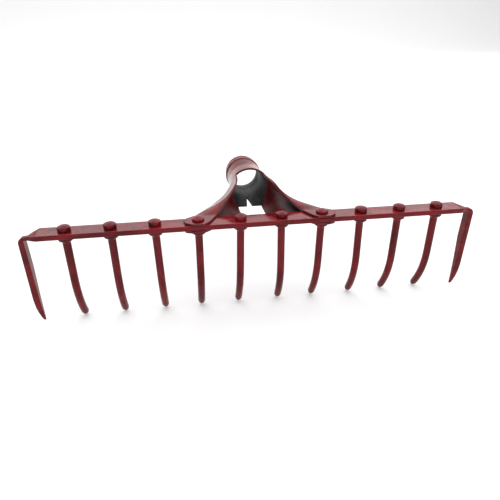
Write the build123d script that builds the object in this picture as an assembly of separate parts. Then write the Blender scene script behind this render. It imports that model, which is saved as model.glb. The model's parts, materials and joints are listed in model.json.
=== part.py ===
"""Flat-bar garden rake head: a bar with ten riveted round tines, its two pointed ends bent down
as the outer teeth, and a pressed sheet socket that clasps the bar and takes a round handle.

The origin is the centre of the socket's mouth. +X runs along the bar, +Y leaves the socket along
the handle, and +Z is up, so the teeth point down. All sizes are in millimetres.
"""
from build123d import *
import math
import os

# ---- driving dimensions -------------------------------------------------------------------------
# flat bar
BAR_WIDTH = 16.0
BAR_THICKNESS = 4.0
OVERALL_WIDTH = 351.0           # outside of one bent end to outside of the other, at the bends

# round tines
TINE_COUNT = 10
TINE_PITCH = 32.0
TINE_DIAMETER = 6.0
TINE_STRAIGHT = 36.0            # straight run below the bar's underside
TINE_BEND_RADIUS = 68.0
TINE_DROP = 77.7                # bar's underside to the tine's tip
TINE_POINT_LENGTH = 5.0
TINE_POINT_DIAMETER = 2.6
COLLAR_DIAMETER = 11.0
COLLAR_HEIGHT = 3.0
COLLAR_CONE_HEIGHT = 1.8
HEAD_DIAMETER = 9.4
HEAD_SIDE_HEIGHT = 3.0
HEAD_CROWN_HEIGHT = 1.6
TENON_CLEARANCE = 0.05          # radial, between a tine's tenon and the holes it is riveted in

# bent ends, the outer teeth
BEND_OUTER_RADIUS = 5.0
BLADE_WIDTH = 8.0
BLADE_LEAD = 5.2                # the blade's front edge lies this far in front of the bar's centre line
BLADE_DROP = 70.0               # bar's underside to the blade's point
BLADE_SHOULDER = 50.0           # bar's underside to where the blade starts to close on its point
BLADE_INSET = 1.0               # the point's inner side lies this far in from the blade's top
BLADE_POINT_THICKNESS = 1.4
BLADE_POINT_WIDTH = 1.2
BLADE_POINT_LEAD = 1.8          # the point lies this far in front of the bar's centre line
NECK_TAPER_LENGTH = 6.0         # full bar width narrows to the neck over this length
NECK_LENGTH = 7.0               # narrow stretch from the taper to the bend's outer face
NECK_WIDTH = 4.2
NECK_FALL = 2.4                 # the top slopes down this far from the taper to the bend's outer face

# pressed sheet socket
SHEET = 1.6
HANDLE_DIAMETER = 28.0
SOCKET_REACH = 105.0            # bar's centre line to the mouth, along the handle
SOCKET_RISE = 4.0               # handle's axis above the bar's top face
BORE_LENGTH = 28.0              # round length that grips the handle
THROAT_LENGTH = 21.0            # from the round length to the open front of the tube
THROAT_RADIUS = 17.3
ARM_RIVET = 2                   # the arms are held by the second tine either side of the middle
FOLD_REACH = 5.0                # back fold of an arm meets the bar this far beyond that tine
LEAF_INNER = 6.5                # leaf's inner end, on the bar's front edge, short of that tine
LEAF_REACH = 10.2               # leaf's end beyond that tine's centre
LEAF_CORNER = 8.0
BEAD_INSET = 9.0                # mouth to the middle of the stiffening bead
BEAD_WIDTH = 6.0
BEAD_HEIGHT = 0.9
LEAF_INNER_CORNER = 4.0
SEAM_GAP = 0.2                  # butt seam along the underside
NOTCH_LENGTH = 16.0             # the seam opens into a pointed notch at the throat
NOTCH_HALF_WIDTH = 2.2

# ---- places worked out from the sizes -----------------------------------------------------------
BAR_Y = -SOCKET_REACH
BAR_BACK = BAR_Y + BAR_WIDTH / 2
BAR_FRONT = BAR_Y - BAR_WIDTH / 2
BAR_TOP = -SOCKET_RISE
BAR_UNDER = BAR_TOP - BAR_THICKNESS
BORE_RADIUS = HANDLE_DIAMETER / 2
TUBE_RADIUS = BORE_RADIUS + SHEET
HOLE_RADIUS = TINE_DIAMETER / 2 + TENON_CLEARANCE
TINE_PLACES = [(i - (TINE_COUNT - 1) / 2) * TINE_PITCH for i in range(TINE_COUNT)]
RIVET_X = (ARM_RIVET - 0.5) * TINE_PITCH
THROAT_Y = -BORE_LENGTH - THROAT_LENGTH
ARM_LENGTH = THROAT_Y - BAR_BACK
FOLD_X = RIVET_X + FOLD_REACH
LEAF_END = RIVET_X + LEAF_REACH
FLOOR_HALF_WIDTH = 11.2         # half the width of the tube's lower lip
# sections through the throat and the arms: share of the way from the throat to the bar, crown
# height, the free edge's place (out, up), the side's dip inwards, the back fold's swell outwards
# and its height, the floor's height, the floor's belly, and how much the wall's slope widens it
# in section; heights are above the bar's top
ARM_STATIONS = [
    (0.00, 22.2, (12.4, 17.4), -1.7, (0.0, 2.6), -13.0, 1.6, 1.05),
    (0.20, 22.4, (13.0, 17.9), -0.6, (0.0, 1.0), -13.4, 1.0, 1.15),
    (0.59, 20.5, (16.4, 17.8), 3.0, (0.8, 0.2), -11.6, 0.5, 1.2),
    (0.76, 13.5, (22.4, 9.8), 0.3, (1.8, -0.4), -9.4, 0.4, 1.2),
]
BLADE_OUTER = OVERALL_WIDTH / 2
PLAN_MARGIN = 30.0              # how far cutting solids stand out past what they cut


def mirrored(points):
    """The outline's right-hand points followed by their mirror images, as one closed loop."""
    return points + [(-x, y) for x, y in reversed(points)]


def plan_prism(points, low, high):
    """An upright prism over a closed outline in plan."""
    with BuildPart() as prism:
        with BuildSketch(Plane.XY.offset(low)):
            with BuildLine():
                Polyline(*points, close=True)
            make_face()
        extrude(amount=high - low)
    return prism.part


# ---- flat bar with its two pointed ends ---------------------------------------------------------
def tine_bar():
    """One strip: flat across the top, necked and bent down at both ends, then pointed."""
    foot = BAR_UNDER - BLADE_DROP
    neck = BLADE_OUTER - NECK_LENGTH
    shoulder = neck - NECK_TAPER_LENGTH
    inner_face = BLADE_OUTER - BAR_THICKNESS
    point_inner = inner_face - BLADE_INSET
    with BuildPart() as strip:
        with BuildSketch(Plane.XZ.offset(-BAR_BACK)) as side:
            with BuildLine():
                fall = Line(
                    (BLADE_OUTER, BAR_TOP - NECK_FALL), (BLADE_OUTER, BAR_UNDER - BLADE_SHOULDER))
                curve = TangentArc(
                    fall @ 1, (point_inner + BLADE_POINT_THICKNESS, foot), tangent=(0, -1))
                Polyline(curve @ 1, (point_inner, foot), (inner_face, BAR_UNDER), (0, BAR_UNDER),
                         (0, BAR_TOP), (shoulder, BAR_TOP), fall @ 0)
            make_face()
            fillet(side.vertices().sort_by_distance((BLADE_OUTER, BAR_TOP - NECK_FALL))[0],
                   BEND_OUTER_RADIUS)
            fillet(side.vertices().sort_by_distance((inner_face, BAR_UNDER))[0],
                   BEND_OUTER_RADIUS - BAR_THICKNESS)
            mirror(about=Plane.YZ)
        extrude(amount=BAR_WIDTH)

    front, back = BAR_Y - BLADE_LEAD, BAR_Y - BLADE_LEAD + BLADE_WIDTH
    neck_back = front + NECK_WIDTH
    plan = plan_prism(
        mirrored([(shoulder, BAR_FRONT), (neck, front), (BLADE_OUTER + 1, front),
                  (BLADE_OUTER + 1, back), (inner_face, back), (inner_face, neck_back),
                  (neck, neck_back), (shoulder, BAR_BACK)]),
        foot - 1, BAR_TOP + 1)

    point_y = BAR_Y - BLADE_POINT_LEAD
    with BuildPart() as blade_side:
        with BuildSketch(Plane.YZ.offset(-BLADE_OUTER - 1)):
            with BuildLine():
                edge = Line((front, BAR_TOP + 1), (front, BAR_UNDER - BLADE_SHOULDER))
                curve = TangentArc(edge @ 1, (point_y - BLADE_POINT_WIDTH / 2, foot), tangent=(0, -1))
                Polyline(curve @ 1, (point_y + BLADE_POINT_WIDTH / 2, foot),
                         (back, BAR_UNDER - BLADE_SHOULDER / 2), (back, BAR_UNDER - NECK_WIDTH),
                         (neck_back, BAR_TOP + 1), edge @ 0)
            make_face()
        extrude(amount=2 * BLADE_OUTER + 2)
    with BuildPart() as middle:
        with Locations((0, BAR_Y, BAR_TOP)):
            Box(2 * neck, BAR_WIDTH + 2, 4 * BAR_THICKNESS)

    bar = (strip.part & plan) & (blade_side.part + middle.part)
    for x in TINE_PLACES:
        bar -= Pos(x, BAR_Y, (BAR_TOP + BAR_UNDER) / 2) * Cylinder(HOLE_RADIUS, BAR_THICKNESS + 2)
    return bar


# ---- riveted round tine -------------------------------------------------------------------------
def tine(x, stack):
    """Collar below, tenon through the bar and a stack of sheet each side, and a head riveted on top.

    All the tenons are the same length, so the heads' crowns are level and thinner over the sheet.
    """
    seat_top, seat_under = BAR_TOP + stack, BAR_UNDER - stack
    rod_radius = TINE_DIAMETER / 2
    collar_radius = COLLAR_DIAMETER / 2
    head_radius = HEAD_DIAMETER / 2
    bend_start = BAR_UNDER - TINE_STRAIGHT
    cone_foot = seat_under - COLLAR_HEIGHT - COLLAR_CONE_HEIGHT
    side_top = BAR_TOP + HEAD_SIDE_HEIGHT
    crown_top = side_top + HEAD_CROWN_HEIGHT
    with BuildPart() as upper:
        with BuildSketch(Plane.XZ):
            with BuildLine():
                Polyline((0, crown_top), (0, bend_start), (rod_radius, bend_start),
                         (rod_radius, cone_foot), (collar_radius, cone_foot + COLLAR_CONE_HEIGHT),
                         (collar_radius, seat_under), (rod_radius, seat_under),
                         (rod_radius, seat_top), (head_radius, seat_top), (head_radius, side_top))
                TangentArc((0, crown_top), (head_radius, side_top), tangent=(1, 0))
            make_face()
        revolve(axis=Axis.Z)

    bend_drop = TINE_DROP - TINE_STRAIGHT - TINE_POINT_LENGTH
    turn = math.degrees(math.asin(bend_drop / TINE_BEND_RADIUS))
    with BuildLine(Plane.YZ) as path:
        JernArc((0, bend_start), (0, -1), TINE_BEND_RADIUS, turn)
    start = Plane(path.line @ 0, z_dir=path.line % 0)
    end = Plane(path.line @ 1, z_dir=path.line % 1)
    sweep_back = sweep(start * Circle(rod_radius), path=path.line)
    point = end * Pos(0, 0, TINE_POINT_LENGTH / 2) * Cone(
        rod_radius, TINE_POINT_DIAMETER / 2, TINE_POINT_LENGTH)
    return Pos(x, BAR_Y, 0) * (upper.part + sweep_back + point)


# ---- pressed sheet socket -----------------------------------------------------------------------
def between(start, end, share, dip=0.0):
    """The point a share of the way along a chord, set in from it by a dip."""
    along = Vector(end[0] - start[0], end[1] - start[1])
    inward = Vector(along.Y, -along.X).normalized()
    return (start[0] + share * along.X + dip * inward.X, start[1] + share * along.Y + dip * inward.Y)


def arm_section(crown, shoulder, dip, fold, floor, belly):
    """Right half of a section: crown, shoulder, side, back fold and floor."""
    floor_end = (FLOOR_HALF_WIDTH, floor)
    return [(0, crown), shoulder, between(shoulder, fold, 0.33, dip),
            between(shoulder, fold, 0.70, 0.7 * dip), fold, between(fold, floor_end, 0.35, -belly),
            between(fold, floor_end, 0.70, -belly), (0.6 * FLOOR_HALF_WIDTH, floor), (0, floor)]


def seat_section():
    """Right half of the section that closes on the bar's back edge."""
    top, bottom = BAR_TOP + SHEET, BAR_UNDER - SHEET
    bend = BAR_THICKNESS / 2 + SHEET
    across = [share / 8 * (FOLD_X - bend) for share in range(9)]
    return ([(x, top) for x in across] + [(FOLD_X, (top + bottom) / 2)]
            + [(x, bottom) for x in reversed(across)])


def inset(half, wall):
    """The half outline moved inwards by the wall's thickness."""
    mirror = [(-half[1][0], half[1][1])] + half + [(-half[-2][0], half[-2][1])]
    moved = []
    for before, point, after in zip(mirror, half, mirror[2:]):
        along = Vector(after[0] - before[0], after[1] - before[1]).normalized()
        moved.append((point[0] + wall * along.Y, point[1] - wall * along.X))
    return moved


def closed_section(y, half):
    """A face across the handle's axis from the right half of its outline."""
    left = [(-x, z) for x, z in reversed(half[1:-1])]
    return Face(Wire([Spline(*[(x, y, z) for x, z in half + left], periodic=True)]))


def fishtail(wall):
    """The tube opening out and flattening on to the bar, drawn a wall's thickness inside."""
    arms = []
    for share, crown, (out, up), dip, (swell, rise), floor, belly, slant in ARM_STATIONS:
        fold = (THROAT_RADIUS + share * (FOLD_X - THROAT_RADIUS) + swell, BAR_TOP + rise)
        half = arm_section(BAR_TOP + crown, (out, BAR_TOP + up), dip, fold, BAR_TOP + floor, belly)
        arms.append(closed_section(THROAT_Y - share * ARM_LENGTH, inset(half, wall * slant)))
    arms.append(closed_section(BAR_BACK, inset(seat_section(), wall)))
    ring = Plane((0, -BORE_LENGTH, 0), x_dir=(0, 0, 1), z_dir=(0, 1, 0)) * Circle(TUBE_RADIUS - wall)
    return loft([ring.face(), arms[0]]) + loft(arms)


def socket_bracket():
    """Sheet tube with a beaded mouth, opened into two arms whose leaves clasp the bar."""
    mid = (BAR_TOP + BAR_UNDER) / 2
    outer = fishtail(0.0)
    inner = fishtail(SHEET)

    # round tube with its bead
    tube = Rot(90, 0, 0) * Cylinder(TUBE_RADIUS, BORE_LENGTH, align=(Align.CENTER, Align.CENTER, Align.MIN))
    bead_y = -BEAD_INSET
    with BuildPart() as bead:
        with BuildSketch(Plane.XY):
            with BuildLine():
                swell = ThreePointArc((TUBE_RADIUS, bead_y - BEAD_WIDTH / 2),
                                      (TUBE_RADIUS + BEAD_HEIGHT, bead_y),
                                      (TUBE_RADIUS, bead_y + BEAD_WIDTH / 2))
                Polyline(swell @ 1, (BORE_RADIUS + SHEET / 2, bead_y + BEAD_WIDTH / 2),
                         (BORE_RADIUS + SHEET / 2, bead_y - BEAD_WIDTH / 2), swell @ 0)
            make_face()
        revolve(axis=Axis.Y)
    bore = Rot(90, 0, 0) * Cylinder(BORE_RADIUS, BORE_LENGTH, align=(Align.CENTER, Align.CENTER, Align.MIN))

    # leaves above and below the bar
    leaves = None
    for side in (-1, 1):
        with BuildPart() as leaf:
            with BuildSketch(Plane.XY.offset(BAR_UNDER - SHEET)):
                with BuildLine():
                    Polyline((0, BAR_BACK), (side * LEAF_END, BAR_BACK), (side * LEAF_END, BAR_FRONT),
                             (0, BAR_FRONT), close=True)
                make_face()
            extrude(amount=BAR_THICKNESS + 2 * SHEET)
            outer_edges = [e for e in leaf.edges().filter_by(Axis.Z) if abs(e.center().X) > 1]
            fillet(outer_edges, LEAF_CORNER - 0.2)
        leaves = leaf.part if leaves is None else leaves + leaf.part
    bar_slot = Pos(0, BAR_Y, mid) * Box(4 * LEAF_END, BAR_WIDTH, BAR_THICKNESS)

    shell = (outer + tube + bead.part + leaves) - inner - bore - bar_slot
    shell = shell - top_bay(mid) - bottom_bay(mid) - seam()
    leaf_corners = [e for e in shell.edges().filter_by(Axis.Z)
                    if abs(e.center().Y - BAR_FRONT) < 0.1 and abs(e.center().X) < RIVET_X]
    shell = fillet(leaf_corners, LEAF_INNER_CORNER)
    for x in (-RIVET_X, RIVET_X):
        shell -= Pos(x, BAR_Y, mid) * Cylinder(HOLE_RADIUS, 4 * BAR_THICKNESS)
    return shell


def top_bay(low):
    """Space between the arms above the bar: from the tube's top lip to the leaves' inner ends."""
    edge = [(free[0], THROAT_Y - share * ARM_LENGTH) for share, _, free, *_ in ARM_STATIONS]
    leaf_inner = RIVET_X - LEAF_INNER
    return plan_prism(
        mirrored([*edge, (leaf_inner - 8, BAR_BACK), (leaf_inner, BAR_FRONT - 1)]),
        low, BAR_TOP + PLAN_MARGIN)


def bottom_bay(high):
    """Space between the arms below the bar, with the notch that ends the tube's seam."""
    leaf_inner = RIVET_X - LEAF_REACH
    bay = plan_prism(
        mirrored([(FLOOR_HALF_WIDTH, THROAT_Y + 1.5), (FLOOR_HALF_WIDTH - 0.7, BAR_BACK + 22),
                  (leaf_inner, BAR_BACK), (leaf_inner, BAR_FRONT - 1)]),
        BAR_UNDER - PLAN_MARGIN, high)
    notch = plan_prism(
        mirrored([(SEAM_GAP / 2, THROAT_Y + NOTCH_LENGTH), (NOTCH_HALF_WIDTH, THROAT_Y + 1)]),
        BAR_UNDER - PLAN_MARGIN, high)
    return bay + notch


def seam():
    """The butt seam along the underside, from the mouth to the notch."""
    length = -THROAT_Y - NOTCH_LENGTH
    return Pos(0, 1 - length / 2, -BORE_RADIUS) * Box(SEAM_GAP, length + 2, 4 * SHEET)


def write(name, solid):
    """Save one piece under its own name."""
    solid.label = name
    export_step(solid, f"parts/{name}.step")


os.makedirs("parts", exist_ok=True)
write("tine_bar", tine_bar())
write("socket_bracket", socket_bracket())
for number, place in enumerate(TINE_PLACES, start=1):
    leaf_here = abs(abs(place) - RIVET_X) < TINE_PITCH / 2
    write(f"tine_{number:02d}", tine(place, SHEET if leaf_here else 0.0))
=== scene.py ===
"""Garden rake head: the finished, painted surfaces, modelled round the fixed frame of the design.

A flat bar carries ten forged tines, riveted over on top, and its two ends are bent down as the outer
teeth. A pressed sheet socket clasps the bar and takes the handle. +X runs along the bar, +Y leaves the
socket, and +Z is up. Blender's units are metres, and MM turns millimetres into them.
"""

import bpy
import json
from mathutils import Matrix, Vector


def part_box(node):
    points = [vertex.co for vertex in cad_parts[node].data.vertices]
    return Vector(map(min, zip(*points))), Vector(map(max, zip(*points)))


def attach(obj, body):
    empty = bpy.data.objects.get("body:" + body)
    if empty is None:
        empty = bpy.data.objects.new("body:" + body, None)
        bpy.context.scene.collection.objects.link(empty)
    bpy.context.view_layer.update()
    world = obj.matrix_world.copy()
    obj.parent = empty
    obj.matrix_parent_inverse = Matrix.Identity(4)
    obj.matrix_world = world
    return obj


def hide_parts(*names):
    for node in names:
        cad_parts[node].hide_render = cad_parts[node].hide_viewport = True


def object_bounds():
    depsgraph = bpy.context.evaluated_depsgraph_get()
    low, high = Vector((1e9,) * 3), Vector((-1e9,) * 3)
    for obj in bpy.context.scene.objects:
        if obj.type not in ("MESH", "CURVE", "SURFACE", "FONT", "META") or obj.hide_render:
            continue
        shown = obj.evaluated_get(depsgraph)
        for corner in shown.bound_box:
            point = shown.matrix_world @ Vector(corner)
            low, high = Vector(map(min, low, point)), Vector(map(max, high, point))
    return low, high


bl_info = {
    "name": "Garden Rake Head",
    "version": (1, 0, 0),
    "blender": (4, 5, 0),
    "location": "3D View > Sidebar > Rake Head",
    "description": "Models and paints a riveted garden rake head round its design frame",
    "category": "Object",
}

import json
import math

import bmesh
import bpy
from bpy.props import FloatProperty, FloatVectorProperty, PointerProperty
from bpy.types import Operator, Panel, PropertyGroup
from mathutils import Matrix, Vector, noise

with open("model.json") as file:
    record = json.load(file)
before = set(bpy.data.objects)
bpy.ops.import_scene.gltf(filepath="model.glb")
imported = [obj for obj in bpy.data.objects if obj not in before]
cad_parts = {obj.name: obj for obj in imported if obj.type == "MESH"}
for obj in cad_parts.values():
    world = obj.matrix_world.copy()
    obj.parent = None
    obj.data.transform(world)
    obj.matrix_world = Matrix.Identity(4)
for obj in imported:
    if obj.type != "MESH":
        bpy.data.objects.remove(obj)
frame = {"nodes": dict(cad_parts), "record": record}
CAD_LOW, CAD_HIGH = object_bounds()

MM = 0.001
BODY = "root"
SOCKET = frame["record"]["mounts"][0]["dims"]
BORE_RADIUS = SOCKET["r_mm"] * MM
BORE_LENGTH = SOCKET["length_mm"] * MM

# ---- places read from the frame -----------------------------------------------------------------
BAR_LOW, BAR_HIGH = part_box("tine_bar")
BAR_TOP = BAR_HIGH.z
BAR_FRONT, BAR_BACK = BAR_LOW.y, BAR_HIGH.y
BAR_Y = (BAR_FRONT + BAR_BACK) / 2
BAR_WIDTH = BAR_BACK - BAR_FRONT
TINE_NODES = sorted(set(frame["nodes"]) - {"tine_bar", "socket_bracket"})
LEAF_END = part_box("socket_bracket")[1].x
TIP_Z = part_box(TINE_NODES[0])[0].z

# ---- sizes of the parts, in metres unless a comment says millimetres ----------------------------
BAR_THICKNESS = 4.0 * MM
SHEET = 1.6 * MM
BAR_UNDER = BAR_TOP - BAR_THICKNESS
BAR_STEPS = 24                   # sections from the bar's middle to where it starts to narrow
CORNER_STEPS = 4                 # facets round a corner of the bar's section
CORNER_SHARE = 0.42              # its radius is at most this share of half the thickness, or of the width

# bent ends of the bar
NECK_TAPER = 6.0 * MM
NECK_LENGTH = 7.0 * MM
NECK_WIDTH = 4.2 * MM
NECK_FALL = 2.4 * MM
TAPER_RUN_UP = 2.5 * MM          # the even sections stop this far before the taper
TAPER_SHARES = (-0.2, 0.0, 0.2, 0.4, 0.6, 0.8, 1.0)
TAPER_EASE = 1.25                # 1 narrows in a straight line, and more starts gently
BEND_RADIUS = 5.0 * MM
BEND_STEPS = 8
BEND_EASE = 1.5                  # the same for how the neck widens to the blade round the bend
BEND_WIDENING = 0.85             # share of that widening which is done at the end of the bend
BLADE_WIDTH = 8.0 * MM
BLADE_LEAD = 5.2 * MM            # the front edge lies this far in front of the bar's centre line
BLADE_INSET = 1.0 * MM
BLADE_SHOULDER = 50.0 * MM       # the blade starts to thin towards its point this far below the bar
POINT_THICKNESS = 1.4 * MM
# down a bent end, in millimetres: depth below the bar's underside, and where the front and back edges
# lie about the bar's centre line
BLADE_EDGES = [
    (4.2, -5.2, 2.8), (14.0, -5.2, 2.8), (25.0, -5.2, 2.8), (38.0, -5.2, 1.4), (50.0, -5.2, 0.3),
    (57.0, -4.75, -0.2), (62.0, -4.15, -0.6), (66.0, -3.5, -0.9), (68.7, -2.9, -1.1), (69.7, -2.45, -1.4),
]

# round tines
ROUND_STEPS = 32                 # facets round a tine
ROD_RADIUS = 3.0 * MM
HEAD_RADIUS = 4.7 * MM
HEAD_SIDE = 3.0 * MM
HEAD_CROWN = 1.6 * MM
CROWN_SHARES = (0.06, 0.22, 0.4, 0.58, 0.74, 0.88, 0.96)
# down the head's side from under the crown: depth, and share of the head's radius
HEAD_EDGE = ((0.02 * MM, 0.995), (0.35 * MM, 1.01))
# below that: share of the way up from the seat, and share of the head's radius
HEAD_BULGE = ((0.6, 1.015), (0.3, 1.015), (0.06, 1.015))
COLLAR_RADIUS = 5.5 * MM
COLLAR_HEIGHT = 3.0 * MM
COLLAR_CONE = 1.8 * MM
# the collar's rounded upper edge: share of the radius at its top, and its depth
COLLAR_EDGE = (0.97, 0.2 * MM)
COLLAR_SHARES = (0.5, 0.92)
# from the collar to the rod: share of the cone's height, and share of the way to the rod's radius
CONE_PROFILE = ((0.08, 0.10), (0.5, 0.55), (0.85, 0.90), (1.25, 1.0))
TINE_STRAIGHT = 36.0 * MM
STRAIGHT_SHARES = (0.33, 0.67, 1.0)
TINE_BEND_RADIUS = 68.0 * MM
SWEEP_STEPS = 10
TINE_POINT = 5.0 * MM
# along the point: share of its length, and share of the rod's radius
POINT_PROFILE = ((0.12, 0.98), (0.35, 0.90), (0.62, 0.78), (0.85, 0.60), (0.96, 0.42), (1.0, 0.16))
RIVET_REACH = 20.0 * MM          # the leaf that a tine is riveted through reaches this far in from its end
# each tine's point stands this far to the side of its rivet, in millimetres, as hammered
TINE_SWAY = [0.0, 0.2, 1.2, -0.6, -1.0, 1.4, -0.3, 1.8, 0.5, 0.6]
DENT_SCALE = 0.33                # dents to a millimetre
DENT_STEP = 17.0                 # gives each tine dents of its own
ROD_DENTS = 0.35                 # depth of the rods' dents, as a share of the heads'

# pressed socket: half of its round section has this many steps from the seam to the crown
SEAM_STEPS, FLOOR_STEPS, SIDE_STEPS, LIP_STEPS = 3, 4, 5, 4
TUBE_RADIUS = BORE_RADIUS + SHEET
THROAT_LENGTH = 21.0 * MM
THROAT_Y = -BORE_LENGTH - THROAT_LENGTH
THROAT_SHARES = (0.24, 0.48, 0.74, 1.0)
SEAM_HALF = 0.1 * MM
NOTCH_APEX = THROAT_Y + 16.0 * MM
NOTCH_HALF = 2.2 * MM
# along the tube from its mouth, in millimetres: distance, and how far the wall stands out of round
TUBE_ROWS = [
    (0.0, 0.0), (3.0, 0.0), (6.2, 0.0), (7.4, 0.45), (9.0, 1.0), (10.6, 0.45), (11.7, -0.45),
    (12.8, 0.0), (17.0, 0.0), (23.0, 0.0), (28.0, 0.0),
]
# sections through the arms, in millimetres: share of the way from throat to bar, free edge (out, up),
# the side's dip, how far out and up the fold lies, how far out and up the floor's edge lies, its belly
ARM_SECTIONS = [
    (0.00, (12.4, 13.4), -1.7, (17.3, -1.4), (11.2, -17.0), 1.6),
    (0.20, (13.0, 13.9), -0.6, (24.4, -3.0), (11.2, -17.4), 1.0),
    (0.59, (16.4, 13.8), 3.0, (39.2, -3.8), (10.7, -15.6), 0.5),
    (0.76, (22.4, 5.8), 0.3, (46.2, -4.4), (18.0, -13.4), 0.4),
]
ARM_ROW_SHARE = 0.1              # about one row to this share of an arm's length
ARM_OVERRUN = 1.15               # the leaf's section is repeated here, so that the arm ends level
# leaves, in millimetres: distance in front of the bar's back edge, inner and outer end above the bar,
# inner and outer end below it
LEAF_ROWS = [
    (0.0, 33.5, 51.4, 37.8, 51.4), (3.5, 35.2, 56.6, 37.8, 56.6), (8.0, 37.4, 58.9, 37.8, 58.9),
    (12.5, 39.8, 57.6, 38.6, 57.6), (16.0, 43.8, 52.0, 43.0, 52.0),
]
LEAF_DROOP = 1.2                 # the lower leaves' outer ends hang this far, in millimetres
LEAF_LENGTH = 21.0               # the length of leaf that the droop is for, in millimetres
WELD = 0.001 * MM                # vertices nearer to each other than this become one

# stage
FLOOR_REACH = 3.0
FLOOR_GAP = 0.2 * MM             # the points stand this far above the floor
BACKDROP_SWEEP = 0.8             # radius on which the floor turns up into the backdrop
BACKDROP_STEPS = 16
OVERHEAD_PLACE, OVERHEAD_SIZE = (0.0, 0.8, 2.2), 5.0
SIDE_PLACE, SIDE_SIZE = (0.9, -0.5, 0.7), 0.5
SIDE_SHARE = 0.01                # the side light's power, as a share of the overhead one's

# colours that the paint and the steel take in places, and painted shade, highlight and shadow for the inside
# of the socket's arms
GRIME = (0.03, 0.005, 0.006)
WORN_TIP = (0.07, 0.05, 0.045)
# painted shade: darkens the red inside the socket's arms
INSIDE_PAINTED_SHADE = (0.02, 0.004, 0.006)
# painted highlight: a pale patch inside each arm
PAINTED_HIGHLIGHT = (0.20, 0.15, 0.155)
# painted shadow: a dark patch inside each arm, under its upper sheet
PAINTED_SHADOW = (0.018, 0.015, 0.017)
RUBBED_STEEL = (0.07, 0.065, 0.068)


# ---- what a user may change ---------------------------------------------------------------------
class RakeHeadSizes(PropertyGroup):
    """Finish of the edges and surfaces."""

    bar_edge: FloatProperty(
        name="Bar edge rounding", description="Radius of the rolled bar's long edges",
        default=1.1 * MM, min=0.05 * MM, max=1.5 * MM, precision=5, unit="LENGTH")
    sheet_edge: FloatProperty(
        name="Sheet edge rounding", description="Radius on the pressed sheet's sheared edges",
        default=0.35 * MM, min=0.05 * MM, max=0.7 * MM, precision=5, unit="LENGTH")
    hammering: FloatProperty(
        name="Hammer marks", description="How deep the riveted heads are dented",
        default=0.16 * MM, min=0.0, max=0.5 * MM, precision=5, unit="LENGTH")


class RakeHeadPaint(PropertyGroup):
    """Colours of the enamel, the bare steel and the floor."""

    enamel_light: FloatVectorProperty(
        name="Enamel, thin", description="Red enamel where it lies thin",
        default=(0.185, 0.009, 0.013), size=3, min=0.0, max=1.0, subtype="COLOR")
    enamel_deep: FloatVectorProperty(
        name="Enamel, thick", description="Red enamel where it has pooled",
        default=(0.085, 0.003, 0.005), size=3, min=0.0, max=1.0, subtype="COLOR")
    bare_steel: FloatVectorProperty(
        name="Bare steel", description="Unpainted steel inside the socket",
        default=(0.026, 0.024, 0.026), size=3, min=0.0, max=1.0, subtype="COLOR")
    floor: FloatVectorProperty(
        name="Floor", description="Colour of the floor and backdrop",
        default=(0.62, 0.62, 0.62), size=3, min=0.0, max=1.0, subtype="COLOR")


class RakeHeadStage(PropertyGroup):
    """Camera and light."""

    camera_place: FloatVectorProperty(
        name="Camera place", description="Where the camera stands",
        default=(-0.05806, -0.4102, 0.13035), size=3, subtype="TRANSLATION", unit="LENGTH")
    camera_pitch: FloatProperty(
        name="Camera pitch", description="How far the camera looks below the level",
        default=math.radians(27.57), subtype="ANGLE")
    camera_yaw: FloatProperty(
        name="Camera yaw", description="How far the camera turns towards the right end",
        default=math.radians(9.187), subtype="ANGLE")
    lens: FloatProperty(
        name="Focal length", description="Focal length of the camera in millimetres",
        default=31.77, min=10.0, max=200.0, unit="CAMERA")
    key_power: FloatProperty(
        name="Key light", description="Power of the large soft light overhead",
        default=140.0, min=0.0, max=1000.0, unit="POWER")
    ambient: FloatProperty(
        name="Ambient light", description="Strength of the even light all round",
        default=0.6, min=0.0, max=10.0)


# ---- shader building ----------------------------------------------------------------------------
class Signal:
    """A shader node's output; Python's operators on it add Math nodes."""

    def __init__(self, recipe, socket):
        self.recipe = recipe
        self.socket = socket

    def maths(self, operation, *values):
        return self.recipe.add("ShaderNodeMath", {"operation": operation}, dict(enumerate(values)))

    def __add__(self, other):
        return self.maths("ADD", self, other)

    def __radd__(self, other):
        return self.maths("ADD", other, self)

    def __sub__(self, other):
        return self.maths("SUBTRACT", self, other)

    def __rsub__(self, other):
        return self.maths("SUBTRACT", other, self)

    def __mul__(self, other):
        return self.maths("MULTIPLY", self, other)

    def __rmul__(self, other):
        return self.maths("MULTIPLY", other, self)

    def __abs__(self):
        return self.maths("ABSOLUTE", self)

    def above(self, low, high):
        """0 below low and 1 above high, with a smooth step between."""
        return self.recipe.add(
            "ShaderNodeMapRange", {"interpolation_type": "SMOOTHSTEP", "clamp": True},
            {"Value": self, "From Min": low, "From Max": high})

    def below(self, low, high):
        """1 below low and 0 above high, with a smooth step between."""
        return 1.0 - self.above(low, high)


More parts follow.
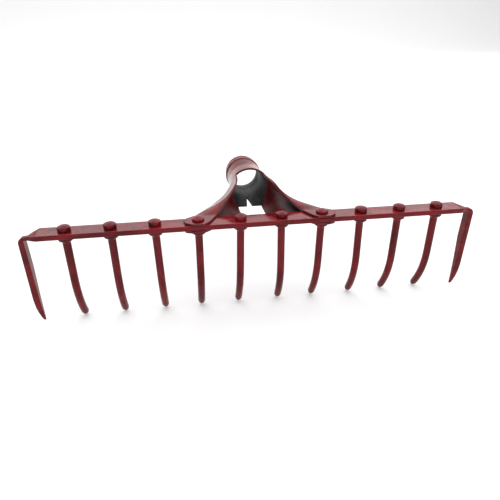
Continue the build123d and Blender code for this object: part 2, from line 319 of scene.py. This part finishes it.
class Recipe:
    """A material's node tree."""

    def __init__(self, name):
        self.material = bpy.data.materials.new(name)
        self.material.use_nodes = True
        self.tree = self.material.node_tree
        self.tree.nodes.clear()

    def add(self, kind, settings=None, inputs=None, output=0):
        """Add a node, set it up, feed its sockets with values or links, and return one output."""
        node = self.tree.nodes.new(kind)
        for name, value in (settings or {}).items():
            setattr(node, name, value)
        for key, value in (inputs or {}).items():
            socket = node.inputs[key]
            if isinstance(value, Signal):
                self.tree.links.new(value.socket, socket)
            else:
                socket.default_value = value
        return Signal(self, node.outputs[output]) if node.outputs else None

    def place(self, scale=(1.0, 1.0, 1.0)):
        """The piece's own coordinates, stretched for a pattern."""
        where = self.add("ShaderNodeTexCoord", output="Object")
        return self.add("ShaderNodeMapping", {"vector_type": "POINT"}, {"Vector": where, "Scale": scale})

    def grain(self, vector, scale, detail, roughness):
        """Cloudy noise between 0 and 1."""
        return self.add("ShaderNodeTexNoise", {"noise_dimensions": "3D"},
                        {"Vector": vector, "Scale": scale, "Detail": detail, "Roughness": roughness})

    def axis(self, vector, letter):
        """One component of a vector."""
        return self.add("ShaderNodeSeparateXYZ", None, {"Vector": vector}, letter)

    def blend(self, share, first, second):
        """Mix two colours, each an output or three numbers."""
        first, second = (
            colour if isinstance(colour, Signal) else (*colour, 1.0) for colour in (first, second))
        return self.add("ShaderNodeMix", {"data_type": "RGBA", "clamp_factor": True},
                        {0: share, 6: first, 7: second}, 2)

    def finish(self, inputs, height, depth):
        """Close the recipe with a bumped surface shader."""
        normal = self.add("ShaderNodeBump", None, {"Strength": 1.0, "Distance": depth, "Height": height})
        surface = self.add("ShaderNodeBsdfPrincipled", None, {**inputs, "Normal": normal})
        self.add("ShaderNodeOutputMaterial", None, {"Surface": surface})
        return self.material


# ---- materials ----------------------------------------------------------------------------------
def enamel(name, stretch, tip_wear):
    """Glossy dipped enamel: softly mottled, wavy, darker where it pooled, worn at the teeth's tips."""
    paint = bpy.context.scene.rake_head_paint
    recipe = Recipe(name)
    flow = recipe.place(stretch)
    plain = recipe.place()
    cloud = recipe.grain(flow, 75.0, 3.0, 0.5).above(0.41, 0.59)
    streak = recipe.grain(flow, 300.0, 3.0, 0.55).above(0.36, 0.68)
    grime = recipe.grain(plain, 170.0, 4.0, 0.55).above(0.56, 0.74)
    wave = recipe.grain(flow, 130.0, 1.0, 0.4)
    peel = recipe.grain(plain, 500.0, 2.0, 0.5)
    near_tip = recipe.axis(plain, "Z").below(TIP_Z + 1.0 * MM, TIP_Z + 8.0 * MM)
    chip = near_tip * tip_wear * recipe.grain(plain, 700.0, 4.0, 0.7).above(0.46, 0.60)

    colour = recipe.blend(cloud * 0.6 + streak * 0.4, paint.enamel_deep, paint.enamel_light)
    colour = recipe.blend(grime * 0.55, colour, GRIME)
    colour = recipe.blend(chip, colour, WORN_TIP)
    rough = 0.13 + 0.07 * streak + 0.12 * grime + 0.3 * chip
    bump = wave * 0.7 + peel * 0.05 + streak * 0.03 - chip * 0.12
    return recipe.finish(
        {"Base Color": colour, "Roughness": rough, "Metallic": chip * 0.6, "IOR": 1.33,
         "Specular IOR Level": 0.32, "Coat Weight": 0.03, "Coat Roughness": 0.06, "Coat IOR": 1.5},
        bump, 0.20 * MM)


def socket_inside(name):
    """Inside of the pressed sheet: bare dark steel in the tube, thin overspray over the arms with its red
    darkened all over as painted shade, and a painted highlight and a painted shadow on each arm.
    """
    paint = bpy.context.scene.rake_head_paint
    recipe = Recipe(name)
    plain = recipe.place()
    streaks = recipe.grain(recipe.place((1.0, 0.12, 1.0)), 900.0, 4.0, 0.6)
    cloud = recipe.grain(plain, 110.0, 4.0, 0.6)
    side, distance, height = (recipe.axis(plain, letter) for letter in "XYZ")
    out = abs(side)
    ragged = (cloud - 0.5) * (9.0 * MM) + (streaks - 0.5) * (5.0 * MM)
    # bare in the tube and along the throat's lower lip
    in_tube = (distance + ragged).above(THROAT_Y - 1.0 * MM, THROAT_Y + 5.0 * MM)
    low_lip = ((height + ragged * 0.5).below(-12.0 * MM, -8.0 * MM)
               * (out + ragged * 0.5).below(10.5 * MM, 13.0 * MM)
               * distance.above(THROAT_Y - 6.0 * MM, THROAT_Y - 2.0 * MM))
    bare = (in_tube + low_lip).above(0.2, 0.8)
    # a pale grey patch on each arm as a painted highlight, and a dark patch towards the bar as a painted
    # shadow under the arm's upper sheet
    painted_highlight = ((out - ragged).above(19.0 * MM, 25.0 * MM)
            * (out + ragged).below(28.0 * MM, 36.0 * MM)
            * (height + ragged).below(-4.0 * MM, 3.0 * MM)
            * height.above(-14.0 * MM, -8.0 * MM))
    painted_shadow = ((out + ragged * 0.7).above(24.0 * MM, 33.0 * MM)
            * (height + ragged * 0.5).below(-3.0 * MM, 5.0 * MM)
            * height.above(-13.0 * MM, -7.0 * MM)
            * distance.above(BAR_BACK, BAR_BACK + 3.0 * MM))
    # the painted highlight and shadow are stronger in the right arm than in the left
    painted_light_weight = 0.25 + 0.75 * side.above(-5.0 * MM, 5.0 * MM)

    red = recipe.blend(cloud.above(0.38, 0.62), paint.enamel_deep, paint.enamel_light)
    # painted shade: the whole inside red is darkened by a share of 0.3
    red = recipe.blend(0.3, red, INSIDE_PAINTED_SHADE)
    # painted highlight: a pale grey patch blended into each arm's red
    red = recipe.blend(painted_highlight * painted_light_weight * 0.8, red, PAINTED_HIGHLIGHT)
    # painted shadow: a dark patch blended in towards the bar
    red = recipe.blend(painted_shadow * painted_light_weight * 0.92, red, PAINTED_SHADOW)
    steel = recipe.blend(streaks.above(0.35, 0.7), paint.bare_steel, RUBBED_STEEL)
    colour = recipe.blend(bare, red, steel)
    rough = 0.34 + 0.2 * bare + 0.18 * painted_highlight + 0.1 * streaks
    bump = streaks * 0.5 * bare + cloud * 0.6
    return recipe.finish(
        {"Base Color": colour, "Roughness": rough, "Metallic": bare * 0.35, "IOR": 1.38}, bump, 0.12 * MM)


def matt_floor(name):
    """Plain pale floor with a very faint tone."""
    paint = bpy.context.scene.rake_head_paint
    recipe = Recipe(name)
    tone = recipe.grain(recipe.place(), 3.0, 2.0, 0.5)
    colour = recipe.blend(tone, paint.floor, [0.97 * part for part in paint.floor])
    return recipe.finish(
        {"Base Color": colour, "Roughness": 0.9, "Specular IOR Level": 0.1,
         "Emission Color": (1.0, 1.0, 1.0, 1.0), "Emission Strength": 0.27}, tone, 0.01 * MM)


# ---- modelling helpers --------------------------------------------------------------------------
def add_object(bm, name, materials):
    """Make a bmesh a smooth object of the scene."""
    mesh = bpy.data.meshes.new(name)
    bm.to_mesh(mesh)
    bm.free()
    mesh.shade_smooth()
    for material in materials:
        mesh.materials.append(material)
    made = bpy.data.objects.new(name, mesh)
    bpy.context.scene.collection.objects.link(made)
    return made


def add_piece(bm, name, materials, node):
    """Make a bmesh a piece that rides on the frame and stands for its CAD node."""
    piece = add_object(bm, name, materials)
    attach(piece, BODY)
    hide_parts(node)
    return piece


def skin(bm, rings):
    """Extrude a face through closed rings of points, one after another, and close its start."""
    start = [bm.verts.new(point) for point in rings[0]]
    face = bm.faces.new(start)
    for ring in rings[1:]:
        face = bmesh.ops.extrude_discrete_faces(bm, faces=[face])["faces"][0]
        for vert, point in zip(face.verts, ring):
            vert.co = point
    bm.faces.new(start)
    bmesh.ops.recalc_face_normals(bm, faces=bm.faces)


def lay_sheet(bm, rows):
    """Lay a grid on rows of points, each row its distance along the handle and its points, in millimetres."""
    grid = bmesh.ops.create_grid(
        bm, x_segments=len(rows[0][1]) - 1, y_segments=len(rows) - 1, size=1.0)["verts"]
    places = (Vector((point.x, along, point.y)) for along, points in rows for point in points)
    for vert, place in zip(grid, places):
        vert.co = place * MM


def rounded_section(outer, inner, front, back, radius):
    """A rounded rectangle between an outer and an inner point, from the front edge to the back edge."""
    across = (outer - inner) / 2
    middle = (outer + inner) / 2 + Vector((0.0, (front + back) / 2, 0.0))
    tall, wide = across.length, (back - front) / 2
    radius = min(radius, CORNER_SHARE * tall, CORNER_SHARE * (back - front))
    up = across.normalized()
    points = []
    for corner, (side, rise) in enumerate(((1, 1), (-1, 1), (-1, -1), (1, -1))):
        for step in range(CORNER_STEPS + 1):
            turn = math.pi / 2 * (corner + step / CORNER_STEPS)
            level = rise * (tall - radius) + radius * math.sin(turn)
            along = side * (wide - radius) + radius * math.cos(turn)
            points.append(middle + up * level + Vector((0.0, along, 0.0)))
    return points


# ---- flat bar -----------------------------------------------------------------------------------
def bar_stations():
    """Outer point, inner point, front and back edge of each section, from the middle to the right end."""
    right = CAD_HIGH.x
    shoulder = right - NECK_LENGTH - NECK_TAPER
    slope = NECK_FALL / (right - shoulder)
    full = BAR_WIDTH / 2
    neck_back = NECK_WIDTH - BLADE_LEAD
    blade_back = BLADE_WIDTH - BLADE_LEAD
    stations = []

    def add(outer_x, outer_z, inner_x, inner_z, front, back):
        outer, inner = Vector((outer_x, BAR_Y, outer_z)), Vector((inner_x, BAR_Y, inner_z))
        stations.append((outer, inner, front, back))

    for step in range(BAR_STEPS + 1):
        x = (shoulder - TAPER_RUN_UP) * step / BAR_STEPS
        add(x, BAR_TOP, x, BAR_UNDER, -full, full)
    for share in TAPER_SHARES:
        x = shoulder + NECK_TAPER * share
        narrowing = max(0.0, share)
        eased = narrowing ** TAPER_EASE
        add(x, BAR_TOP - slope * NECK_TAPER * narrowing, x, BAR_UNDER,
            -full + (full - BLADE_LEAD) * eased, full - (full - neck_back) * eased)

    # round the bend, its inner radius a bar's thickness less
    inside = BEND_RADIUS - BAR_THICKNESS
    centre_x = right - BEND_RADIUS
    outer_z = BAR_TOP - slope * (centre_x - shoulder) - BEND_RADIUS
    for step in range(BEND_STEPS + 1):
        share = step / BEND_STEPS
        turn = math.pi / 2 * share
        add(centre_x + BEND_RADIUS * math.sin(turn), outer_z + BEND_RADIUS * math.cos(turn),
            centre_x + inside * math.sin(turn), BAR_UNDER - inside + inside * math.cos(turn),
            -BLADE_LEAD, neck_back + (blade_back - neck_back) * BEND_WIDENING * share ** BEND_EASE)

    # down the blade to its point
    drop = BAR_UNDER - BAR_LOW.z
    for depth_mm, front, back in BLADE_EDGES:
        depth = depth_mm * MM
        closing = max(0.0, (depth - BLADE_SHOULDER) / (drop - BLADE_SHOULDER))
        inner_x = right - BAR_THICKNESS - BLADE_INSET * depth / drop
        outer_x = right - (BAR_THICKNESS + BLADE_INSET - POINT_THICKNESS) * closing ** 2
        add(outer_x, BAR_UNDER - depth, inner_x, BAR_UNDER - depth, front * MM, back * MM)
    return stations


class RAKEHEAD_OT_bar(Operator):
    """Model the flat bar with its two bent, pointed ends"""

    bl_idname = "rakehead.bar"
    bl_label = "Flat Bar"

    def execute(self, context):
        sizes = context.scene.rake_head_sizes
        right = [rounded_section(*station, sizes.bar_edge) for station in bar_stations()]
        left = [[Vector((-point.x, point.y, point.z)) for point in ring] for ring in reversed(right[1:])]
        bm = bmesh.new()
        skin(bm, left + right)
        material = enamel("bar_enamel", (0.30, 1.0, 1.0), 1.0)
        piece = add_piece(bm, "flat_bar", [material], "tine_bar")
        # the broad faces shade flat, and only their rounded edges turn
        shading = piece.modifiers.new("Flat faces", "WEIGHTED_NORMAL")
        shading.weight = 100
        return {"FINISHED"}


# ---- tines --------------------------------------------------------------------------------------
def tine_profile(stack):
    """Height and radius of each ring from the riveted head's crown to the end of the straight rod."""
    seat_top, seat_under = BAR_TOP + stack, BAR_UNDER - stack
    side_top = BAR_TOP + HEAD_SIDE
    foot = seat_under - COLLAR_HEIGHT
    edge_share, edge_depth = COLLAR_EDGE
    rings = [(side_top + HEAD_CROWN * (1 - share ** 2), HEAD_RADIUS * share) for share in CROWN_SHARES]
    rings += [(side_top - depth, HEAD_RADIUS * grow) for depth, grow in HEAD_EDGE]
    rings += [(seat_top + (side_top - seat_top) * share, HEAD_RADIUS * grow) for share, grow in HEAD_BULGE]
    rings += [(seat_top, HEAD_RADIUS), (seat_top, ROD_RADIUS), (seat_under, ROD_RADIUS)]
    rings += [(seat_under, COLLAR_RADIUS * edge_share), (seat_under - edge_depth, COLLAR_RADIUS)]
    rings += [(seat_under - share * COLLAR_HEIGHT, COLLAR_RADIUS) for share in COLLAR_SHARES]
    rings += [(foot - share * COLLAR_CONE, COLLAR_RADIUS + (ROD_RADIUS - COLLAR_RADIUS) * grow)
              for share, grow in CONE_PROFILE]
    start, end = rings[-1][0], BAR_UNDER - TINE_STRAIGHT
    return rings + [(start + (end - start) * share, ROD_RADIUS) for share in STRAIGHT_SHARES]


def tine_rings(x, stack, sway):
    """Circles of points from the riveted head's crown to the tine's point."""
    down = Vector((0.0, 0.0, -1.0))
    placed = [(Vector((x, BAR_Y, z)), down, radius) for z, radius in tine_profile(stack)]

    # swept back on an arc, then a short blunt point
    bend_start = BAR_UNDER - TINE_STRAIGHT
    turn = math.asin((bend_start - TIP_Z - TINE_POINT) / TINE_BEND_RADIUS)
    for step in range(1, SWEEP_STEPS + 1):
        angle = turn * step / SWEEP_STEPS
        centre = Vector((x, BAR_Y + TINE_BEND_RADIUS * (1 - math.cos(angle)),
                         bend_start - TINE_BEND_RADIUS * math.sin(angle)))
        placed.append((centre, Vector((0.0, math.sin(angle), -math.cos(angle))), ROD_RADIUS))
    end, along, _ = placed[-1]
    for share, grow in POINT_PROFILE:
        placed.append((end + along * (TINE_POINT * share), along, ROD_RADIUS * grow))

    # the rod leans a little to one side below its collar
    foot = BAR_UNDER - stack - COLLAR_HEIGHT
    sideways = Vector((1.0, 0.0, 0.0))
    angles = [2 * math.pi * step / ROUND_STEPS for step in range(ROUND_STEPS)]
    circles = []
    for centre, along, radius in placed:
        leaning = centre + sideways * (sway * MM * max(0.0, (foot - centre.z) / (foot - TIP_Z)))
        outwards = along.cross(sideways)
        circles.append([
            leaning + radius * (math.cos(angle) * sideways + math.sin(angle) * outwards) for angle in angles])
    return circles


def hammer(bm, depth, number, above):
    """Dent the riveted head, and let the rod's surface wander a little."""
    bm.normal_update()
    for vert in bm.verts:
        place = vert.co / MM + Vector((0.0, DENT_STEP * number, 0.0))
        amount = depth if vert.co.z > above else ROD_DENTS * depth
        vert.co += vert.normal * (amount * noise.noise(place * DENT_SCALE))


class RAKEHEAD_OT_tines(Operator):
    """Model the ten forged tines with their collars and riveted heads"""

    bl_idname = "rakehead.tines"
    bl_label = "Round Tines"

    def execute(self, context):
        sizes = context.scene.rake_head_sizes
        material = enamel("tine_enamel", (1.0, 1.0, 0.30), 1.0)
        for number, node in enumerate(TINE_NODES):
            low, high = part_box(node)
            x = (low.x + high.x) / 2
            stack = SHEET if LEAF_END - RIVET_REACH < abs(x) < LEAF_END else 0.0
            bm = bmesh.new()
            skin(bm, tine_rings(x, stack, TINE_SWAY[number]))
            hammer(bm, sizes.hammering, number, BAR_TOP + stack)
            piece = add_piece(bm, node.replace("tine_", "round_tine_"), [material], node)
            finer = piece.modifiers.new("Finer", "SUBSURF")
            finer.levels = finer.render_levels = 1
        return {"FINISHED"}


# ---- pressed socket, whose sections and rows are in millimetres ---------------------------------
def catmull(before, start, end, after, share):
    """A smooth curve's point between start and end."""
    return 0.5 * ((2 * start) + (end - before) * share
                  + (2 * before - 5 * start + 4 * end - after) * share ** 2
                  + (3 * start - before - 3 * end + after) * share ** 3)


def bowed(start, end, share, dip):
    """A point on a chord, pushed off it by a dip that is deepest in the middle."""
    along = (end - start).normalized()
    return start.lerp(end, share) + Vector((-along.y, along.x)) * (dip * math.sin(math.pi * share))


def arm_outline(free, dip, fold, floor, belly):
    """Right half of an arm's section, from the floor's edge round the fold to the free edge."""
    free, fold, floor = Vector(free), Vector(fold), Vector(floor)
    under = [bowed(floor, fold, step / FLOOR_STEPS, -belly) for step in range(FLOOR_STEPS)]
    over = [bowed(fold, free, step / SIDE_STEPS, dip) for step in range(SIDE_STEPS + 1)]
    return under + over


def leaf_outline(upper_in, upper_out, lower_in, lower_out):
    """The same steps where the arm has closed on the bar: its lower leaf, fold and upper leaf."""
    top, under = (BAR_TOP + SHEET) / MM, (BAR_UNDER - SHEET) / MM
    below = [Vector((lower_in + (lower_out - lower_in) * step / (FLOOR_STEPS - 1), under))
             for step in range(FLOOR_STEPS)]
    fold = [Vector((upper_out + SHEET / MM, (top + under) / 2))]
    above = [Vector((upper_out + (upper_in - upper_out) * step / (SIDE_STEPS - 1), top))
             for step in range(SIDE_STEPS)]
    return below + fold + above


def throat_outline():
    """Right half of the throat: flat lower lip, the arm's first section, round upper lip."""
    _, free, dip, fold, floor, belly = ARM_SECTIONS[0]
    lower = [Vector((floor[0] * step / SEAM_STEPS, floor[1])) for step in range(SEAM_STEPS)]
    reach, start = Vector(free).length, math.atan2(free[1], free[0])
    turns = [start + (math.pi / 2 - start) * step / LIP_STEPS for step in range(1, LIP_STEPS + 1)]
    upper = [Vector((reach * math.cos(turn), reach * math.sin(turn))) for turn in turns]
    return lower + arm_outline(free, dip, fold, floor, belly) + upper


def tube_rows():
    """Right half of the tube in rows from mouth to throat, each from the seam to the crown."""
    half_steps = SEAM_STEPS + FLOOR_STEPS + SIDE_STEPS + LIP_STEPS
    turns = [-math.pi / 2 + math.pi * step / half_steps for step in range(half_steps + 1)]
    rows = []
    for along, proud in TUBE_ROWS:
        radius = TUBE_RADIUS / MM + proud
        rows.append((-along, [Vector((radius * math.cos(turn), radius * math.sin(turn))) for turn in turns]))
    last_y, last = rows[-1]
    throat_y, throat = THROAT_Y / MM, throat_outline()
    for share in THROAT_SHARES:
        rows.append((last_y + (throat_y - last_y) * share, [a.lerp(b, share) for a, b in zip(last, throat)]))
    for along, points in rows:
        # the sheet's two edges meet in a butt seam that opens into a notch at the throat
        opening = max(0.0, (NOTCH_APEX - along * MM) / (NOTCH_APEX - THROAT_Y))
        points[0].x = (SEAM_HALF + NOTCH_HALF * opening) / MM
        points[-1].x = 0.0
    return rows


def arm_rows():
    """One arm in rows from the throat to the bar's back edge."""
    throat_y, bar_y = THROAT_Y / MM, BAR_BACK / MM
    known = [(share, arm_outline(*section)) for share, *section in ARM_SECTIONS]
    known += [(share, leaf_outline(*LEAF_ROWS[0][1:])) for share in (1.0, ARM_OVERRUN)]
    rows = [(throat_y, known[0][1])]
    spans = zip([known[0], *known], known, known[1:], known[2:])
    for (_, before), (near, start), (far, end), (_, after) in spans:
        steps = max(1, round((far - near) / ARM_ROW_SHARE))
        for step in range(1, steps + 1):
            share = step / steps
            along = throat_y + (bar_y - throat_y) * (near + (far - near) * share)
            rows.append((along, [catmull(*four, share) for four in zip(before, start, end, after)]))
    return rows


def leaf_rows():
    """Rows of an arm's lower and upper leaf, from the bar's back edge to its front edge."""
    lower, upper = [], []
    for ahead, *ends in LEAF_ROWS:
        along = BAR_BACK / MM - ahead
        points = leaf_outline(*ends)
        below = points[:FLOOR_STEPS]
        inner = below[0].x
        droop = LEAF_DROOP if ahead > 0 else 0.0
        lower.append((along, [point - Vector((0.0, droop * ((point.x - inner) / LEAF_LENGTH) ** 2))
                              for point in below]))
        upper.append((along, points[FLOOR_STEPS + 1:]))
    return lower, upper


class RAKEHEAD_OT_socket(Operator):
    """Model the pressed sheet socket: rolled tube, two arms and the leaves on the bar"""

    bl_idname = "rakehead.socket"
    bl_label = "Pressed Socket"

    def execute(self, context):
        sizes = context.scene.rake_head_sizes
        bm = bmesh.new()
        for rows in (tube_rows(), arm_rows(), *leaf_rows()):
            lay_sheet(bm, rows)
        bmesh.ops.remove_doubles(bm, verts=bm.verts, dist=WELD)
        bmesh.ops.mirror(bm, geom=bm.verts[:] + bm.edges[:] + bm.faces[:], axis="X", merge_dist=WELD)
        bmesh.ops.recalc_face_normals(bm, faces=bm.faces)
        crown = max(bm.faces, key=lambda face: face.calc_center_median().z)
        if crown.normal.z < 0:
            bmesh.ops.reverse_faces(bm, faces=bm.faces)
        piece = add_piece(
            bm, "pressed_socket",
            [enamel("bracket_enamel", (1.0, 0.6, 1.0), 0.0), socket_inside("socket_inside")],
            "socket_bracket")
        # the wall goes inwards, and its inner side and its edges take the second material
        wall = piece.modifiers.new("Sheet thickness", "SOLIDIFY")
        wall.thickness = SHEET
        wall.offset = -1.0
        wall.use_even_offset = True
        wall.use_quality_normals = True
        wall.edge_crease_rim = 1.0
        wall.edge_crease_inner = 1.0
        wall.edge_crease_outer = 1.0
        wall.material_offset = 1
        wall.material_offset_rim = 1
        smooth = piece.modifiers.new("Pressed curves", "SUBSURF")
        smooth.levels = smooth.render_levels = 2
        rounding = piece.modifiers.new("Sheared edges", "BEVEL")
        rounding.width = sizes.sheet_edge
        rounding.segments = 2
        rounding.limit_method = "ANGLE"
        rounding.angle_limit = math.radians(50)
        return {"FINISHED"}


# ---- stage --------------------------------------------------------------------------------------
def soft_light(name, place, size, power):
    """A square area light that faces the rake head."""
    light = bpy.data.lights.new(name, "AREA")
    light.shape = "SQUARE"
    light.size = size
    light.energy = power
    lamp = bpy.data.objects.new(name, light)
    lamp.location = place
    aim = (CAD_LOW + CAD_HIGH) / 2 - Vector(place)
    lamp.rotation_euler = aim.to_track_quat("-Z", "Y").to_euler()
    bpy.context.scene.collection.objects.link(lamp)


def backdrop():
    """A floor that sweeps up into a wall behind the object."""
    bm = bmesh.new()
    bmesh.ops.create_grid(bm, x_segments=1, y_segments=1, size=FLOOR_REACH,
                          matrix=Matrix.Translation((0.0, 0.0, TIP_Z - FLOOR_GAP)))
    rear = max(bm.edges, key=lambda edge: sum(vert.co.y for vert in edge.verts))
    turned = bmesh.ops.spin(
        bm, geom=[rear, *rear.verts], cent=(0.0, FLOOR_REACH, TIP_Z + BACKDROP_SWEEP),
        axis=(1.0, 0.0, 0.0), angle=math.pi / 2, steps=BACKDROP_STEPS)["geom_last"]
    edges = [part for part in turned if isinstance(part, bmesh.types.BMEdge)]
    wall = bmesh.ops.extrude_edge_only(bm, edges=edges)["geom"]
    bmesh.ops.translate(bm, vec=(0.0, 0.0, FLOOR_REACH),
                        verts=[part for part in wall if isinstance(part, bmesh.types.BMVert)])
    bmesh.ops.recalc_face_normals(bm, faces=bm.faces)
    return bm


class RAKEHEAD_OT_stage(Operator):
    """Set up the floor, backdrop, lights and camera"""

    bl_idname = "rakehead.stage"
    bl_label = "Stage"

    def execute(self, context):
        scene = context.scene
        stage = scene.rake_head_stage
        scene.view_settings.view_transform = "Standard"

        camera = bpy.data.cameras.new("camera")
        camera.lens = stage.lens
        camera.clip_start, camera.clip_end = 0.01, 50.0
        viewer = bpy.data.objects.new("camera", camera)
        viewer.location = stage.camera_place
        viewer.rotation_euler = (math.pi / 2 - stage.camera_pitch, 0.0, -stage.camera_yaw)
        scene.collection.objects.link(viewer)
        scene.camera = viewer

        add_object(backdrop(), "floor", [matt_floor("pale_floor")])

        world = bpy.data.worlds.new("studio")
        world.use_nodes = True
        sky = world.node_tree.nodes["Background"]
        sky.inputs["Color"].default_value = (1.0, 1.0, 1.0, 1.0)
        sky.inputs["Strength"].default_value = stage.ambient
        scene.world = world
        soft_light("overhead_softbox", OVERHEAD_PLACE, OVERHEAD_SIZE, stage.key_power)
        soft_light("side_softbox", SIDE_PLACE, SIDE_SIZE, stage.key_power * SIDE_SHARE)
        return {"FINISHED"}


class RAKEHEAD_PT_parts(Panel):
    """Builds the rake head step by step"""

    bl_label = "Rake Head"
    bl_idname = "RAKEHEAD_PT_parts"
    bl_space_type = "VIEW_3D"
    bl_region_type = "UI"
    bl_category = "Rake Head"

    def draw(self, context):
        scene = context.scene
        layout = self.layout
        for group in (scene.rake_head_sizes, scene.rake_head_paint, scene.rake_head_stage):
            column = layout.column()
            for name in group.bl_rna.properties.keys():
                if name not in {"rna_type", "name"}:
                    column.prop(group, name)
        for operator in OPERATORS:
            layout.operator(operator.bl_idname)


OPERATORS = (RAKEHEAD_OT_stage, RAKEHEAD_OT_bar, RAKEHEAD_OT_tines, RAKEHEAD_OT_socket)
CLASSES = (RakeHeadSizes, RakeHeadPaint, RakeHeadStage, *OPERATORS, RAKEHEAD_PT_parts)


def register():
    for cls in CLASSES:
        bpy.utils.register_class(cls)
    bpy.types.Scene.rake_head_sizes = PointerProperty(type=RakeHeadSizes)
    bpy.types.Scene.rake_head_paint = PointerProperty(type=RakeHeadPaint)
    bpy.types.Scene.rake_head_stage = PointerProperty(type=RakeHeadStage)


def unregister():
    del bpy.types.Scene.rake_head_stage
    del bpy.types.Scene.rake_head_paint
    del bpy.types.Scene.rake_head_sizes
    for cls in reversed(CLASSES):
        bpy.utils.unregister_class(cls)


def main():
    register()
    bpy.ops.rakehead.stage()
    bpy.ops.rakehead.bar()
    bpy.ops.rakehead.tines()
    bpy.ops.rakehead.socket()


if __name__ == "__main__":
    main()
